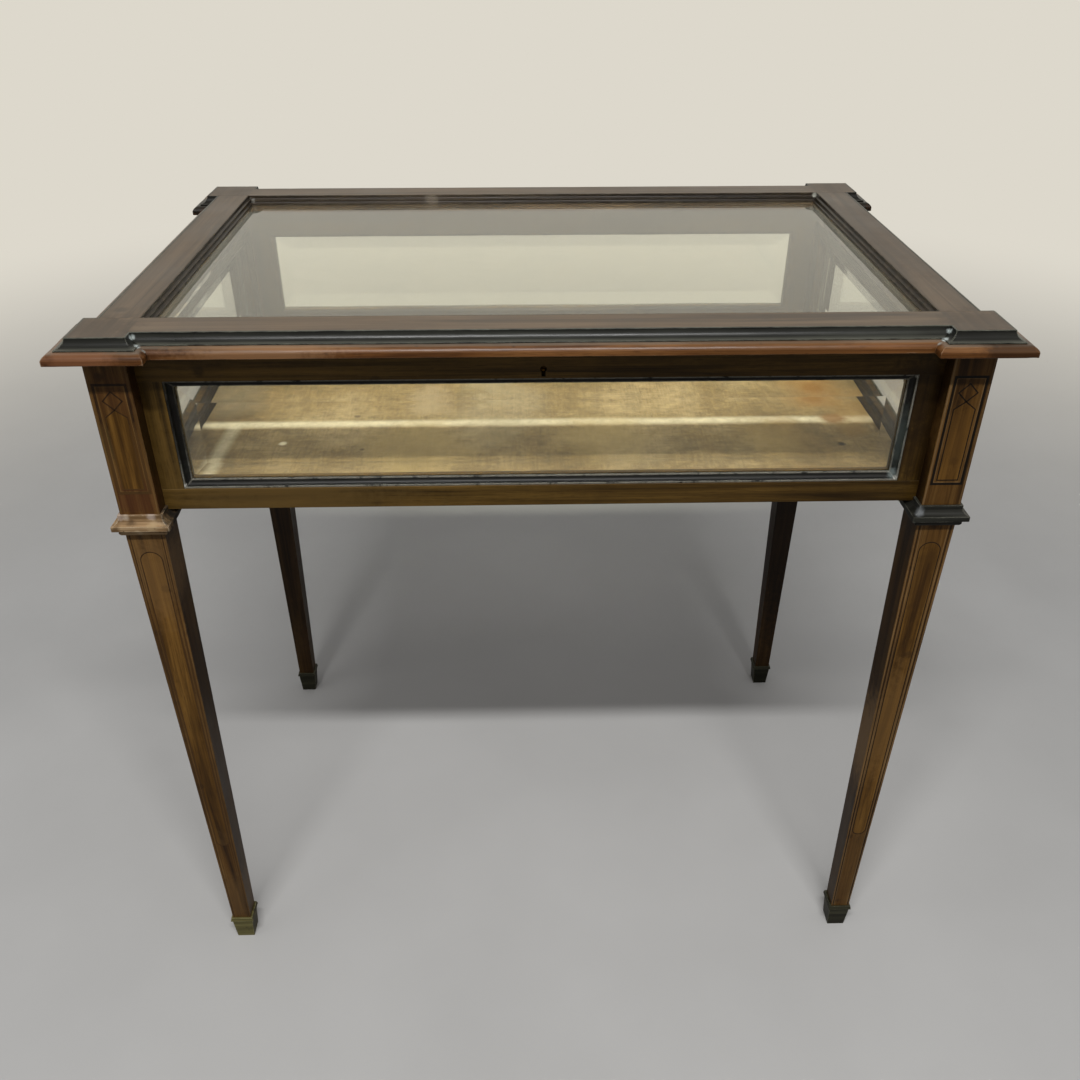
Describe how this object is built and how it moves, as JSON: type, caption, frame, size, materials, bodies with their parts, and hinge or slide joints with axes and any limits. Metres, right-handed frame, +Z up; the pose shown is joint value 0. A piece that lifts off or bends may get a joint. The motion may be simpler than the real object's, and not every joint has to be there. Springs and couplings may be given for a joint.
{
  "type": "collectors display table",
  "caption": "Glazed display case on tapered legs with inlaid lines, under a hinged glazed lid with corner blocks and a lid lock.",
  "frame": {"origin": "on the floor under the middle of the table, in line with its left, right, front and back edges", "axes": "+X to the right along the long side, +Y from the front to the hinged back, +Z up"},
  "size_m": [0.7904, 0.5266, 0.76],
  "materials": {
    "leg_rosewood": "satin",
    "case_rosewood": "satin",
    "lid_rosewood": "satin",
    "edge_rosewood": "satin",
    "ebonised_wood": "satin",
    "pine": "matt",
    "pane_glass": "polished",
    "lid_glass": "polished",
    "lining": "woven",
    "brass": "aged",
    "screw_brass": "aged"
  },
  "bodies": {
    "case": {"back_bead": "ebonised_wood", "back_bottom_rail": "case_rosewood", "back_pane": "pane_glass", "back_stiles": "case_rosewood", "back_top_rail": "case_rosewood", "base_battens": "pine", "base_board": "pine", "case_screws": "screw_brass", "collar_back_left": "ebonised_wood", "collar_back_right": "ebonised_wood", "collar_front_left": "ebonised_wood", "collar_front_right": "ebonised_wood", "foot_cuff_back_left": "ebonised_wood", "foot_cuff_back_right": "ebonised_wood", "foot_cuff_front_left": "ebonised_wood", "foot_cuff_front_right": "ebonised_wood", "front_bead": "ebonised_wood", "front_bottom_rail": "case_rosewood", "front_pane": "pane_glass", "front_stiles": "case_rosewood", "front_top_rail": "case_rosewood", "hinge_case_leaves": "brass", "hinge_pins": "brass", "keyhole_liner": "brass", "left_bead": "ebonised_wood", "left_bottom_rail": "case_rosewood", "left_pane": "pane_glass", "left_stiles": "case_rosewood", "left_top_rail": "case_rosewood", "leg_back_left": "leg_rosewood", "leg_back_right": "leg_rosewood", "leg_front_left": "leg_rosewood", "leg_front_right": "leg_rosewood", "lining": "lining", "lock_case": "brass", "pane_stops": "case_rosewood", "right_bead": "ebonised_wood", "right_bottom_rail": "case_rosewood", "right_pane": "pane_glass", "right_stiles": "case_rosewood", "right_top_rail": "case_rosewood"},
    "lid": {"hinge_lid_leaves": "brass", "lid_back_cove": "ebonised_wood", "lid_back_rail": "lid_rosewood", "lid_back_thumb": "edge_rosewood", "lid_front_cove": "ebonised_wood", "lid_front_rail": "lid_rosewood", "lid_front_thumb": "edge_rosewood", "lid_glass": "lid_glass", "lid_inner_moulding": "ebonised_wood", "lid_left_cove": "ebonised_wood", "lid_left_rail": "lid_rosewood", "lid_left_thumb": "edge_rosewood", "lid_right_cove": "ebonised_wood", "lid_right_rail": "lid_rosewood", "lid_right_thumb": "edge_rosewood", "lid_screws": "screw_brass", "lock_link_plate": "brass"},
    "lock_bolt": {"lock_bolt": "brass"}
  },
  "joints": [
    {"name": "lid_hinge", "type": "hinge", "parent": "case", "child": "lid", "pos_m": [0, 0.247, 0.73785], "axis": [-1, 0, 0], "range_deg": [0, 95]},
    {"name": "lock_bolt_slide", "type": "slide", "parent": "case", "child": "lock_bolt", "axis": [1, 0, 0], "range_m": [0, 0.006]}
  ]
}
